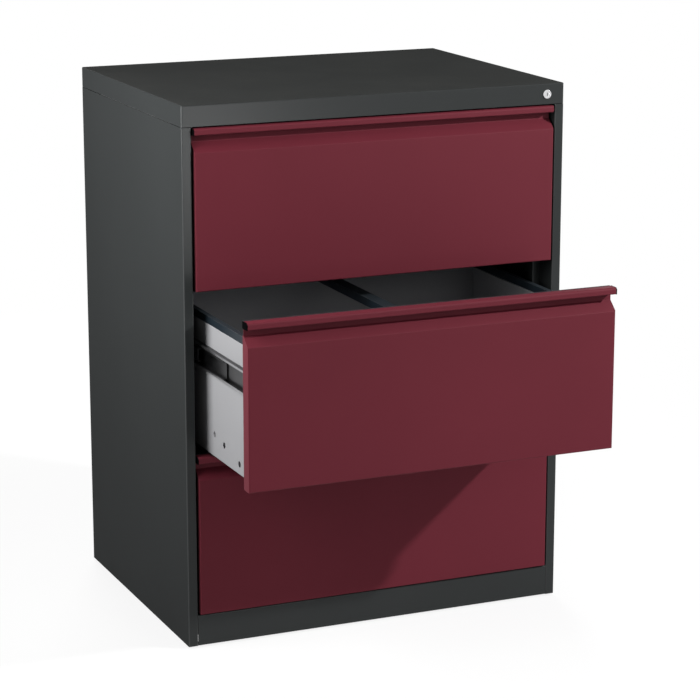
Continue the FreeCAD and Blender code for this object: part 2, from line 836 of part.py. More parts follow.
def add_rail(body, low_x, high_x, foot_z, rear_y):
    """An inverted channel along the drawer, its top edges left free for hooks."""
    path = [(low_x, foot_z), (low_x, rail_top_z), (high_x, rail_top_z), (high_x, foot_z)]
    add_folded(body, "XZ_Plane", path, S["rail_sheet"], -1, box_front_y, rear_y)


def make_hanging_rails(label):
    """One rail along the top of each wall, and the wider one along the drawer's middle."""
    body = new_body(label)
    gap = S["sheet_clearance"]
    add_rail(body, wall_x - S["rail_width"], wall_x, wall_top_z + gap, box_rear_y)
    add_mirror(body)
    centre = S["centre_rail_width"] / 2
    add_rail(body, -centre, centre, back_top_z + gap, box_rear_y)
    return body


# Slide members are drawn about the slide's centre line, from its front end
case_web_x = carrier_x - S["sheet_clearance"]
drawer_web_x = wall_x + S["sheet_clearance"]
drawer_inside_x = drawer_web_x + S["slide_sheet"]
middle_web_x = drawer_inside_x + S["member_gap"]
middle_inside_x = middle_web_x + S["slide_sheet"]
drawer_half = S["slide_height"] / 2
middle_half = drawer_half - S["slide_sheet"] - S["ball_gap"]
case_half = middle_half - S["slide_sheet"] - S["ball_gap"]
slide_length = box_rear_y - S["slide_rear_gap"] - S["slide_setback"]
slide_centre_z = wall_top_z - S["slide_drop"]
drawer_travel = slide_length - S["slide_overlap"]


def make_member(label, web_x, flange, half, side, lip=None):
    """A pair of channels, their flanges pointing inwards for side 1 and outwards for side -1.

    Lips turned in at the flanges' tips keep the balls in.
    """
    tip_x = web_x - flange * side
    path = [(tip_x, half), (web_x, half), (web_x, -half), (tip_x, -half)]
    if lip:
        path = [(tip_x, half - lip), *path, (tip_x, lip - half)]
    body = new_body(label)
    outer, _ = add_folded(body, "XZ_Plane", path, S["slide_sheet"], -side, 0, slide_length)
    round_corners(body, "XZ_Plane", outer, S["slide_sheet"])
    add_mirror(body)
    return body


def make_cages(label, web_x, half):
    """A pair of ball cages: two rows of balls, in their carriers, joined by a thin web."""
    play = S["cage_clearance"]
    row_top = half - play
    row_foot = half - S["ball_gap"] + play
    inside_x = web_x + S["cage_sheet"]
    tip_x = inside_x + S["cage_flange"]
    outline = [
        (tip_x, row_top),
        (web_x, row_top),
        (web_x, -row_top),
        (tip_x, -row_top),
        (tip_x, -row_foot),
        (inside_x, -row_foot),
        (inside_x, row_foot),
        (tip_x, row_foot),
    ]
    body = new_body(label)
    start = drawer_travel * CAGE_START_SHARE
    end = start + drawer_travel * CAGE_LENGTH_SHARE
    add_pad(body, "XZ_Plane", polygon(outline), start, end)
    add_mirror(body)
    return body


def make_catch(label):
    """The angle on the right wall that the raised tab of the lock bar stands in front of."""
    blade_y = tab_rear_y - face_y + S["catch_gap"]
    low = S["tab_height"] + S["tab_thickness"] + S["catch_lift"]
    base_x = wall_x + S["sheet_clearance"]
    tip_x = bar_x - S["tab_length"] + S["catch_overlap"]
    path = [(tip_x, blade_y), (base_x, blade_y), (base_x, blade_y + S["catch_base"])]
    body = new_body(label)
    add_folded(body, "XY_Plane", path, S["catch_sheet"], -1, low, low + S["catch_height"])
    return body


def make_drawer(name, row):
    """All pieces of one drawer and its slides, each set out at its own share of the rest opening."""
    opening = S["rest_opening"] if name == "middle" else ZERO
    row_z = drawer_z[row]
    height = drawer_pitch - S["front_gap"]
    if name == DRAWERS[-1]:
        height = top_edge_z - S["front_gap"] - row_z
    box = [
        make_front(f"{name}_front", height),
        make_grip_caps(f"{name}_grip_caps", height),
        make_liner(f"{name}_front_liner", height),
        make_wall(f"{name}_side_left", -1),
        make_wall(f"{name}_side_right", 1),
        make_floor(f"{name}_floor"),
        make_back(f"{name}_back"),
        make_hanging_rails(f"{name}_hanging_rails"),
        make_catch(f"{name}_lock_catch"),
    ]
    for body in box:
        move(body, ZERO, face_y - opening, row_z)
    play = (S["member_gap"] - S["cage_sheet"]) / 2
    runners = [
        make_member(f"{name}_slide_outer_members", case_web_x, S["case_member_flange"], case_half, 1),
        make_cages(f"{name}_outer_ball_cages", middle_inside_x + play, middle_half - S["slide_sheet"]),
        make_member(f"{name}_slide_middle_members", middle_web_x, S["mid_member_flange"], middle_half, -1),
        make_cages(f"{name}_inner_ball_cages", drawer_inside_x + play, drawer_half - S["slide_sheet"]),
        make_member(f"{name}_slide_inner_members", drawer_web_x, S["drawer_member_flange"], drawer_half, -1,
                    S["drawer_member_lip"]),
    ]
    for body, travel_share in zip(runners, TRAVEL_SHARES.values()):
        move(body, ZERO, face_y + S["slide_setback"] - opening * travel_share, row_z + slide_centre_z)


def write_parts():
    """Check every object, then write each body to its own file."""
    doc.recompute()
    for item in doc.Objects:
        if "Invalid" in item.State or "Error" in item.State:
            raise RuntimeError(f"{item.Label} failed: {item.State}")
    bodies = [item for item in doc.Objects if item.TypeId == "PartDesign::Body"]
    for body in bodies:
        if body.Shape.isNull() or not body.Shape.isValid() or not body.Shape.Solids:
            raise RuntimeError(f"{body.Label} has no valid shape")
    os.makedirs("parts", exist_ok=True)
    for body in bodies:
        body.Shape.exportStep(os.path.join("parts", f"{body.Label}.step"))
        print(body.Label, len(body.Shape.Solids), round(body.Shape.Volume))


make_side_panel("side_panel_left", -1)
make_side_panel("side_panel_right", 1)
make_back_panel()
make_top_panel()
make_top_brackets()
make_plinth()
make_base_floor()
make_rear_uprights()
make_feet()
make_lock_housing()
make_lock_nut()
make_lock_plug()
make_lock_cam()
make_lock_bar()
make_lock_head()
make_lock_tabs()
make_lock_bar_guides()
for drawer_row, drawer_name in enumerate(DRAWERS):
    make_drawer(drawer_name, drawer_row)
write_parts()
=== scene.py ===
"""Looks of a three-drawer filing cabinet: powder-coated sheet steel, plated slides, a lock and a studio."""

import math

import bpy
from bpy.props import FloatProperty, FloatVectorProperty, IntProperty, PointerProperty
from mathutils import Matrix, Vector


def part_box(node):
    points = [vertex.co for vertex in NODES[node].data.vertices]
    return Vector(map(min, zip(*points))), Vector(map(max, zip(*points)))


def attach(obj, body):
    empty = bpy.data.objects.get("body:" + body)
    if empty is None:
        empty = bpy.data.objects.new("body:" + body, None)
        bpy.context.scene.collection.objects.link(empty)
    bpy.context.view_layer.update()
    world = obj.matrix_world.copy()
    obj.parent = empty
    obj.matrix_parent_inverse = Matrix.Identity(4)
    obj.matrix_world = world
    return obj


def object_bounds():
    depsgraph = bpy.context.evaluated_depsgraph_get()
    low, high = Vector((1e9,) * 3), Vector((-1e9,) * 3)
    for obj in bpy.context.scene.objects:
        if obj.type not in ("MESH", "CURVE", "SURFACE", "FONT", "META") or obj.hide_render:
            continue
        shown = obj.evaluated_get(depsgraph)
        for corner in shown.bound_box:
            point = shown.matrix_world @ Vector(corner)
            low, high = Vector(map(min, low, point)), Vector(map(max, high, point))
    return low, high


bl_info = {
    "name": "Filing Cabinet",
    "version": (1, 0, 0),
    "blender": (4, 5, 0),
    "location": "View3D > Sidebar > Cabinet",
    "description": "Finishes, fastenings and studio for a three-drawer filing cabinet",
    "category": "Object",
}

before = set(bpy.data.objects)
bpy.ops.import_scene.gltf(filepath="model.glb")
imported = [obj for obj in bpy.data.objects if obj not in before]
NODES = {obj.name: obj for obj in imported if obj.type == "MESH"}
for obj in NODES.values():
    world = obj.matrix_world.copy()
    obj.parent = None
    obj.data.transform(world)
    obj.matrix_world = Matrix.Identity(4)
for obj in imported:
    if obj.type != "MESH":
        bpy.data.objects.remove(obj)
CAD_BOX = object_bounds()
DRAWERS = ("bottom", "middle", "top")

CASE_PANELS = ("side_panel_left", "side_panel_right", "back_panel", "top_panel", "base_plinth", "base_floor")
BOX_PIECES = ("side_left", "side_right", "floor", "back")
RAIL_PIECES = ("hanging_rails", "front_liner")
SLIDE_PIECES = ("slide_outer_members", "slide_middle_members")
CAGE_PIECES = ("outer_ball_cages", "inner_ball_cages")
FRAME_STEEL = ("top_brackets", "rear_uprights", "lock_bar", "lock_head", "lock_tabs")

WHITE = (1.0, 1.0, 1.0, 1.0)
FULL = (0.0, 1.0)
INVERSE = (1.0, 0.0)


def drawer_nodes(*pieces):
    """The names of these pieces in every drawer."""
    return [f"{drawer}_{piece}" for drawer in DRAWERS for piece in pieces]


def colour_property(name, description, default):
    return FloatVectorProperty(
        name=name, description=description, subtype="COLOR", size=3, min=0.0, max=1.0, default=default)


def length_property(name, description, default):
    return FloatProperty(
        name=name, description=description, unit="LENGTH", min=0.0, precision=5, default=default)


def place_property(name, description, default):
    return FloatVectorProperty(
        name=name, description=description, subtype="XYZ", unit="LENGTH", default=default)


def share_property(name, description, default):
    return FloatProperty(
        name=name, description=description, subtype="FACTOR", min=0.0, max=1.0, default=default)


def angle_property(name, description, degrees):
    return FloatProperty(name=name, description=description, subtype="ANGLE", default=math.radians(degrees))


def power_property(name, description, default):
    return FloatProperty(name=name, description=description, subtype="POWER", default=default)


class CabinetFinishes(bpy.types.PropertyGroup):
    """Colours and roughness of the cabinet's finishes."""

    case_colour: colour_property("Case paint", "Anthracite coat of the case", (0.0270, 0.0295, 0.0297))
    front_colour: colour_property("Front paint", "Wine red coat of the fronts", (0.118, 0.0155, 0.0255))
    box_colour: colour_property("Box paint", "Light grey paint of the drawer boxes", (0.32, 0.32, 0.33))
    rail_colour: colour_property("Rail paint", "Blue-black paint of the hanging rails", (0.012, 0.018, 0.024))
    slide_colour: colour_property("Black plate", "Black-plated steel of the slides", (0.065, 0.065, 0.068))
    # The slides' outer lips are drawn in a lighter colour than the black plate
    lip_colour: colour_property("Bright lips", "Rolled lips of the slides, in a lighter colour", (0.34, 0.34, 0.35))
    cage_colour: colour_property("Bright strip", "Pressed steel of the ball cages", (0.6, 0.6, 0.6))
    plate_colour: colour_property("Zinc plate", "Plated steel of frame and lock bar", (0.50, 0.51, 0.52))
    chrome_colour: colour_property("Chrome", "Bright plate of the lock", (0.70, 0.70, 0.71))
    smear_colour: colour_property("Smears", "Dull smears on the chrome", (0.45, 0.45, 0.46))
    lock_colour: colour_property("Lock steel", "Plated steel of the lock's nut and cam", (0.42, 0.42, 0.43))
    plastic_colour: colour_property("Black plastic", "Moulded caps, guides and feet", (0.003, 0.003, 0.0033))
    dust_colour: colour_property("Dust", "Fine dust on upward faces", (0.30, 0.29, 0.27))
    # Painted shade: the dark colour laid in folds and seams, where shade falls
    painted_shade_colour: colour_property("Painted shade", "Dark colour painted as shade in folds and seams", (0.012, 0.009, 0.008))
    # Painted highlight: the lighter colour laid on the case's upright bends
    bend_highlight_colour: colour_property("Painted bend highlight", "Lighter colour painted as a highlight on the case's bends", (0.29, 0.30, 0.30))
    # How far the painted shade in seams spreads, and how dark it is
    seam_shade_reach: length_property("Seam reach", "How far the painted shade spreads from a seam", 0.004)
    seam_shade_strength: share_property("Seam shade", "How dark the painted shade in a seam is", 0.9)
    paint_roughness: share_property("Paint roughness", "Roughness of the powder coat", 0.62)
    plate_roughness: share_property("Plate roughness", "Roughness of the plated steel", 0.34)


class CabinetFastenings(bpy.types.PropertyGroup):
    """Sizes of the small fastenings."""

    screw_diameter: length_property("Screw head", "Diameter of a pan screw head", 0.0085)
    screw_height: length_property("Screw height", "Height of a pan screw head", 0.0022)
    recess_width: length_property("Recess width", "Width of the cross in a screw head", 0.0011)
    rivet_diameter: length_property("Rivet head", "Diameter of a domed rivet head", 0.0075)
    rivet_height: length_property("Rivet height", "Height of a domed rivet head", 0.0018)
    rivet_inset: length_property("Rivet inset", "From the back panel's edge to a rivet", 0.012)
    box_sheet: length_property("Box sheet", "Thickness of the drawer boxes' sheet", 0.001)
    rear_rivets: IntProperty(
        name="Rear rivets", description="Rivets down each rear edge of the case", min=2, default=6)


class CabinetStudio(bpy.types.PropertyGroup):
    """Camera, lamps and floor."""

    camera_place: place_property("Camera place", "Where the camera stands", (-1.935, -4.597, 1.714))
    camera_azimuth: angle_property("Azimuth", "How far the camera turns right of straight back", 23.57)
    camera_tilt: angle_property("Tilt", "How far the camera looks down", 13.86)
    camera_roll: angle_property("Roll", "Turn about the line of sight", 0.04)
    camera_lens: FloatProperty(
        name="Lens", description="Focal length in millimetres", subtype="DISTANCE_CAMERA", default=130.0)
    key_place: place_property("Key place", "Lamp at the upper right, in front", (2.30, -1.88, 2.03))
    key_power: power_property("Key power", "Power of the key lamp", 104.0)
    key_size: length_property("Key size", "Side of the key lamp", 0.12)
    fill_place: place_property("Fill place", "Lamp at the left", (-1.3, -0.3, 1.3))
    fill_power: power_property("Fill power", "Power of the fill lamp", 28.0)
    fill_size: length_property("Fill size", "Side of the fill lamp", 1.0)
    fill_aim: length_property("Fill aim", "Height that the fill lamp points at", 1.3)
    front_place: place_property("Front place", "Soft lamp beside the camera", (1.0, -4.4, 2.7))
    front_power: power_property("Front power", "Power of the soft lamp", 27.0)
    front_size: length_property("Front size", "Side of the soft lamp", 2.4)
    low_place: place_property("Low place", "Small lamp near the floor, in front", (1.08, -4.4, 0.28))
    low_power: power_property("Low power", "Power of the low lamp", 12.0)
    low_size: length_property("Low size", "Side of the low lamp", 0.4)
    rear_place: place_property("Rear place", "Soft lamp behind the cabinet", (0.8, 4.2, 1.9))
    rear_power: power_property("Rear power", "Power of the rear lamp", 155.0)
    rear_size: length_property("Rear size", "Side of the rear lamp", 2.0)
    sky_strength: share_property("Sky", "Strength of the surrounding light", 0.11)
    floor_size: length_property("Floor size", "Side of the floor", 80.0)
    floor_gap: length_property("Floor gap", "How far the floor lies below the feet", 0.0005)
    floor_tone: share_property("Floor tone", "Grey of the floor in the picture", 0.95)
    floor_bounce: share_property("Floor bounce", "Grey of the floor in the light it sends back", 0.46)
    floor_roughness: share_property("Floor roughness", "Roughness of the floor", 0.9)
    floor_glow: share_property("Floor glow", "How far the floor shows as white near the cabinet", 0.82)
    floor_near: length_property("Floor near", "Where the floor starts to turn plain white", 1.0)
    floor_far: length_property("Floor far", "Where the floor is wholly plain white", 2.6)


def add_node(tree, kind, sockets=None, **settings):
    """A node with its settings, and each socket either linked or set."""
    node = tree.nodes.new(kind)
    for key, value in settings.items():
        setattr(node, key, value)
    for key, value in (sockets or {}).items():
        if isinstance(value, bpy.types.NodeSocket):
            tree.links.new(value, node.inputs[key])
        else:
            node.inputs[key].default_value = value
    return node


def find_node(tree, kind):
    """The first node of a kind."""
    return next(node for node in tree.nodes if node.type == kind)


def find_group(tree, name):
    """The node that holds a shared effect in a material."""
    return next(node for node in tree.nodes if node.type == "GROUP" and node.node_tree.name == name)


def connect(tree, sockets, sources):
    """Link named sockets to their sources."""
    for name, source in sources.items():
        tree.links.new(source, sockets[name])


def compute(tree, operation, *values, **settings):
    """A sum, a product or the like of numbers and sockets."""
    sockets = dict(enumerate(values))
    return add_node(tree, "ShaderNodeMath", sockets, operation=operation, **settings).outputs["Value"]


def compute_vector(tree, operation, *vectors):
    """The outputs of a product, a length or the like of vectors."""
    sockets = dict(enumerate(vectors))
    return add_node(tree, "ShaderNodeVectorMath", sockets, operation=operation).outputs


def separate(tree, vector):
    """A vector's X, Y and Z."""
    return add_node(tree, "ShaderNodeSeparateXYZ", {"Vector": vector}).outputs


def noise(tree, vector, scale, detail, roughness):
    """A cloudy pattern of values between 0 and 1."""
    sockets = {"Vector": vector, "Scale": scale, "Detail": detail, "Roughness": roughness}
    return add_node(tree, "ShaderNodeTexNoise", sockets).outputs["Fac"]


def spread(tree, value, source, target=FULL):
    """A value taken from one range to another."""
    sockets = {"Value": value}
    sockets["From Min"], sockets["From Max"] = source
    sockets["To Min"], sockets["To Max"] = target
    return add_node(tree, "ShaderNodeMapRange", sockets).outputs["Result"]


# Places of the colour sockets in a mix, which share their names with those for other kinds of value
MIX_FACTOR = 0
MIX_FIRST = 6
MIX_SECOND = 7
MIX_RESULT = 2


def blend_colour(tree, factor, first, second, blend_type="MIX"):
    """One colour with another laid over it, as far as a factor says."""
    sockets = {MIX_FACTOR: factor, MIX_FIRST: first, MIX_SECOND: second}
    mix = add_node(tree, "ShaderNodeMix", sockets, data_type="RGBA", blend_type=blend_type)
    return mix.outputs[MIX_RESULT]


def scale_colour(tree, colour, level):
    """A colour made lighter or darker."""
    sockets = {"Vector": colour, "Scale": level}
    return add_node(tree, "ShaderNodeVectorMath", sockets, operation="SCALE").outputs["Vector"]


def object_coordinates(tree):
    return add_node(tree, "ShaderNodeTexCoord").outputs["Object"]


def rgba(colour):
    return (*colour, 1.0)


FLOAT = "NodeSocketFloat"
COLOUR = "NodeSocketColor"
VECTOR = "NodeSocketVector"


def new_group(name, inputs, outputs):
    """An empty shader group with named sockets; gives its tree, its input values and its output sockets."""
    tree = bpy.data.node_groups.new(name, "ShaderNodeTree")
    for label, kind in inputs.items():
        tree.interface.new_socket(label, in_out="INPUT", socket_type=kind)
    for label, kind in outputs.items():
        tree.interface.new_socket(label, in_out="OUTPUT", socket_type=kind)
    return tree, tree.nodes.new("NodeGroupInput").outputs, tree.nodes.new("NodeGroupOutput").inputs


# Soft edges: how far a rounded normal leans from the flat one, and how far a face looks out of a corner
EDGE_SAMPLES = 4
EDGE_LEAN = (1.0, 0.75)
BEND_LEAN = (0.1, 0.35)


def edge_group():
    """Rounded normals at sharp edges, a mask of those edges and one of the rounded upright bends."""
    outputs = {"Normal": VECTOR, "Mask": FLOAT, "Bend": FLOAT}
    tree, given, result = new_group("Soft edge", {"Radius": FLOAT}, outputs)
    bevel = add_node(tree, "ShaderNodeBevel", {"Radius": given["Radius"]}, samples=EDGE_SAMPLES)
    rounded = bevel.outputs["Normal"]
    flat = add_node(tree, "ShaderNodeNewGeometry").outputs["Normal"]
    turn = compute_vector(tree, "DOT_PRODUCT", rounded, flat)["Value"]
    facing = separate(tree, flat)
    corner = compute(tree, "ABSOLUTE", compute(tree, "MULTIPLY", facing["X"], facing["Y"]))
    connect(tree, result, {
        "Normal": rounded,
        "Mask": spread(tree, turn, EDGE_LEAN),
        "Bend": spread(tree, corner, BEND_LEAN),
    })
    return tree


# Settled dust: how level a face has to be, and the clouds and specks that the dust lies in
DUST_RISE = (0.6, 1.0)
CLOUDS = {"scale": 7.0, "detail": 4.0, "roughness": 0.6}
CLOUD_RANGE = (0.35, 0.75)
CLOUD_COVER = (0.75, 1.0)
SPECKS = {"scale": 420.0, "detail": 1.0, "roughness": 0.5}
SPECK_RANGE = (0.5, 0.72)
SPECK_COVER = (0.6, 1.0)


def dust_group():
    """Mask of the dust that settles on upward faces."""
    tree, given, result = new_group("Settled dust", {"Amount": FLOAT}, {"Mask": FLOAT, "Upward": FLOAT})
    place = object_coordinates(tree)
    normal = add_node(tree, "ShaderNodeNewGeometry").outputs["Normal"]
    upward = spread(tree, separate(tree, normal)["Z"], DUST_RISE)
    cloud = spread(tree, noise(tree, place, **CLOUDS), CLOUD_RANGE, CLOUD_COVER)
    speck = spread(tree, noise(tree, place, **SPECKS), SPECK_RANGE, SPECK_COVER)
    cover = compute(tree, "MULTIPLY", compute(tree, "MULTIPLY", upward, cloud), speck)
    thick = compute(tree, "MULTIPLY", cover, given["Amount"], use_clamp=True)
    connect(tree, result, {"Mask": thick, "Upward": upward})
    return tree


# Powder coat: orange peel, drift of tone, wipe marks and worn edges
NOISE_MEAN = 0.5
PEEL = {"detail": 1.5, "roughness": 0.55}
PEEL_TONE = 0.8
PEEL_ROUGHNESS = 0.16
DRIFT = {"scale": 3.2, "detail": 3.0, "roughness": 0.55}
DRIFT_TONE = 4.0
WIPES = {"scale": 1.6, "detail": 5.0, "roughness": 0.62}
WIPE_STRETCH = (9.0, 9.0, 2.0)
WIPE_RANGE = (0.5, 0.72)
WIPE_ROUGHNESS = 0.03
DUST_ROUGHNESS = 0.4
WORN_EDGE = (0.55, 0.53, 0.51, 1.0)


def coat_group():
    """Powder coat: fine orange peel, a slow drift of tone, faint wipe marks and thinner cover on edges."""
    tree, given, result = new_group(
        "Powder coat",
        {
            "Colour": COLOUR,
            "Dust colour": COLOUR,
            "Dust": FLOAT,
            "Edge": FLOAT,
            "Edge lift": FLOAT,
            "Roughness": FLOAT,
            "Grain": FLOAT,
            "Tone": FLOAT,
        },
        {"Colour": COLOUR, "Roughness": FLOAT, "Height": FLOAT},
    )
    place = object_coordinates(tree)
    peel = noise(tree, place, given["Grain"], **PEEL)
    fleck = compute(tree, "SUBTRACT", peel, NOISE_MEAN)
    drift = compute(tree, "SUBTRACT", noise(tree, place, **DRIFT), NOISE_MEAN)
    stretched = add_node(tree, "ShaderNodeMapping", {"Vector": place, "Scale": WIPE_STRETCH})
    wipe = spread(tree, noise(tree, stretched.outputs["Vector"], **WIPES), WIPE_RANGE)

    drift_tone = compute(tree, "MULTIPLY", compute(tree, "MULTIPLY", drift, given["Tone"]), DRIFT_TONE)
    fleck_tone = compute(tree, "MULTIPLY", fleck, compute(tree, "MULTIPLY", given["Tone"], PEEL_TONE))
    level = compute(tree, "ADD", compute(tree, "ADD", drift_tone, fleck_tone), 1.0)
    shade = scale_colour(tree, given["Colour"], level)
    lift = compute(tree, "MULTIPLY", given["Edge"], given["Edge lift"])
    worn = blend_colour(tree, lift, shade, WORN_EDGE, "SCREEN")
    dusty = blend_colour(tree, given["Dust"], worn, given["Dust colour"])

    peeled = compute(tree, "ADD", given["Roughness"], compute(tree, "MULTIPLY", fleck, PEEL_ROUGHNESS))
    wiped = compute(tree, "ADD", peeled, compute(tree, "MULTIPLY", wipe, WIPE_ROUGHNESS))
    dulled = compute(tree, "MULTIPLY", given["Dust"], DUST_ROUGHNESS)
    rough = compute(tree, "ADD", wiped, dulled, use_clamp=True)
    connect(tree, result, {"Colour": dusty, "Roughness": rough, "Height": peel})
    return tree


# Crevices: how open a spot is where the painted shade is darkest, and where it ends
CREVICE_SAMPLES = 8
CREVICE_OPENNESS = (0.25, 0.7)


def painted_shade_group():
    """Mask of the folds and hollows where shade falls, for painted shade."""
    tree, given, result = new_group("Painted crevice shade", {"Reach": FLOAT, "Amount": FLOAT}, {"Mask": FLOAT})
    reach = {"Distance": given["Reach"]}
    openness = add_node(tree, "ShaderNodeAmbientOcclusion", reach, samples=CREVICE_SAMPLES).outputs["AO"]
    hollow = spread(tree, openness, CREVICE_OPENNESS, INVERSE)
    connect(tree, result, {"Mask": compute(tree, "MULTIPLY", hollow, given["Amount"], use_clamp=True)})
    return tree


# Plated steel: drawing lines, spangle and dull patches
LINES = {"scale": 1.0, "detail": 3.0, "roughness": 0.6}
LINE_RANGE = (0.3, 0.7)
LINE_SHADE = (0.86, 1.08)
LINE_ROUGHNESS = (-0.05, 0.05)
LINE_DEPTH = 0.00002
LINES_ALONG = (900.0, 5.0, 900.0)
LINES_UPRIGHT = (700.0, 700.0, 6.0)
SPANGLE_SCALE = 95.0
SPANGLE_SHADE = (-0.05, 0.05)
PATCHES = {"scale": 14.0, "detail": 3.0, "roughness": 0.6}
PATCH_RANGE = (0.35, 0.7)
PATCH_ROUGHNESS = (-0.05, 0.12)


def plate_group():
    """Plated steel: drawing lines along the strip, faint spangle and dull patches."""
    tree, given, result = new_group(
        "Plated steel",
        {"Colour": COLOUR, "Roughness": FLOAT, "Line stretch": VECTOR},
        {"Colour": COLOUR, "Roughness": FLOAT, "Height": FLOAT},
    )
    place = object_coordinates(tree)
    stretched = compute_vector(tree, "MULTIPLY", place, given["Line stretch"])["Vector"]
    lines = noise(tree, stretched, **LINES)
    cells = add_node(tree, "ShaderNodeTexVoronoi", {"Vector": place, "Scale": SPANGLE_SCALE}).outputs["Color"]
    spangle = add_node(tree, "ShaderNodeSeparateColor", {"Color": cells}).outputs["Red"]
    patch = noise(tree, place, **PATCHES)

    line_shade = spread(tree, lines, LINE_RANGE, LINE_SHADE)
    level = compute(tree, "ADD", line_shade, spread(tree, spangle, FULL, SPANGLE_SHADE))
    dulled = compute(tree, "ADD", given["Roughness"], spread(tree, patch, PATCH_RANGE, PATCH_ROUGHNESS))
    rough = compute(tree, "ADD", dulled, spread(tree, lines, LINE_RANGE, LINE_ROUGHNESS))
    shade = scale_colour(tree, given["Colour"], level)
    connect(tree, result, {"Colour": shade, "Roughness": rough, "Height": lines})
    return tree


GROUP_MAKERS = {
    "Soft edge": edge_group,
    "Settled dust": dust_group,
    "Powder coat": coat_group,
    "Painted crevice shade": painted_shade_group,
    "Plated steel": plate_group,
}


def place_group(tree, name, sockets):
    """Put a shared effect in a material, and build it on its first use."""
    shared = bpy.data.node_groups.get(name) or GROUP_MAKERS[name]()
    return add_node(tree, "ShaderNodeGroup", sockets, node_tree=shared)


def new_material(name):
    """An empty material with one Principled shader; gives the material, its tree and the shader."""
    material = bpy.data.materials.new(name)
    material.use_nodes = True
    tree = material.node_tree
    tree.nodes.clear()
    shader = add_node(tree, "ShaderNodeBsdfPrincipled")
    output = add_node(tree, "ShaderNodeOutputMaterial")
    tree.links.new(shader.outputs["BSDF"], output.inputs["Surface"])
    return material, tree, shader


def feed_shader(tree, shader, colour, roughness, height, depth, normal):
    """Link a shader to its colour, its roughness and a fine relief."""
    relief = add_node(tree, "ShaderNodeBump", {"Height": height, "Distance": depth, "Normal": normal})
    connect(tree, shader.inputs, {
        "Base Color": colour,
        "Roughness": roughness,
        "Normal": relief.outputs["Normal"],
    })


# Radii of the softened edges
PAINTED_EDGE = 0.0003
PLATED_EDGE = 0.0004


def painted(name, colour, finishes, roughness=None, dust=0.0, grain=620.0, tone=0.05, edge_lift=0.3,
            specular=0.1, peel_depth=0.00005):
    """A powder-coated or moulded finish."""
    material, tree, shader = new_material(name)
    edge = place_group(tree, "Soft edge", {"Radius": PAINTED_EDGE}).outputs
    coat = place_group(tree, "Powder coat", {
        "Colour": rgba(colour),
        "Dust colour": rgba(finishes.dust_colour),
        "Edge": edge["Mask"],
        "Edge lift": edge_lift,
        "Roughness": finishes.paint_roughness if roughness is None else roughness,
        "Grain": grain,
        "Tone": tone,
    })
    if dust:
        settled = place_group(tree, "Settled dust", {"Amount": dust})
        tree.links.new(settled.outputs["Mask"], coat.inputs["Dust"])
    look = coat.outputs
    feed_shader(tree, shader, look["Colour"], look["Roughness"], look["Height"], peel_depth, edge["Normal"])
    shader.inputs["Specular IOR Level"].default_value = specular
    return material


def plated(name, colour, roughness, stretch=LINES_ALONG):
    """A plated steel finish, its lines along the strip."""
    material, tree, shader = new_material(name)
    edge = place_group(tree, "Soft edge", {"Radius": PLATED_EDGE}).outputs
    sockets = {"Colour": rgba(colour), "Roughness": roughness, "Line stretch": stretch}
    look = place_group(tree, "Plated steel", sockets).outputs
    feed_shader(tree, shader, look["Colour"], look["Roughness"], look["Height"], LINE_DEPTH, edge["Normal"])
    shader.inputs["Metallic"].default_value = 1.0
    return material


def overlay_colour(tree, mask, colour, blend_type="MIX"):
    """Lay a colour over a finish's own, as far as a mask says."""
    base = find_node(tree, "BSDF_PRINCIPLED").inputs["Base Color"]
    shade = blend_colour(tree, mask, base.links[0].from_socket, rgba(colour), blend_type)
    tree.links.new(shade, base)


def paint_shade_in_hollows(material, finishes, reach, amount):
    """Painted shade: a dark colour laid in the folds and seams of a finish, where shade falls."""
    tree = material.node_tree
    hollow = place_group(tree, "Painted crevice shade", {"Reach": reach, "Amount": amount})
    overlay_colour(tree, hollow.outputs["Mask"], finishes.painted_shade_colour)


def dress(names, material):
    """Give CAD nodes a finish."""
    for name in names:
        slots = NODES[name].data.materials
        slots.clear()
        slots.append(material)


def only(piece):
    """Select one object and make it the active one."""
    bpy.ops.object.select_all(action="DESELECT")
    piece.select_set(True)
    bpy.context.view_layer.objects.active = piece


def settle(piece):
    """Put a piece's place, turn and scale into its mesh."""
    only(piece)
    bpy.ops.object.transform_apply(location=True, rotation=True, scale=True)


def remove(piece):
    """Delete an object that was only a help."""
    only(piece)
    bpy.ops.object.delete()


def set_out(master, name, places, direction, body, material):
    """Copy a modelled head to each place, pointing one way, join the copies and let them ride on a body."""
    turn = Vector((0, 0, 1)).rotation_difference(Vector(direction)).to_euler()
    copies = []
    for place in places:
        only(master)
        bpy.ops.object.duplicate(linked=False)
        copy = bpy.context.object
        copy.location = place
        copy.rotation_euler = turn
        settle(copy)
        copies.append(copy)
    bpy.ops.object.select_all(action="DESELECT")
    for copy in copies:
        copy.select_set(True)
    bpy.context.view_layer.objects.active = copies[0]
    bpy.ops.object.join()
    piece = bpy.context.object
    piece.name = name
    piece.data.name = name
    piece.data.materials.clear()
    piece.data.materials.append(material)
    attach(piece, body)


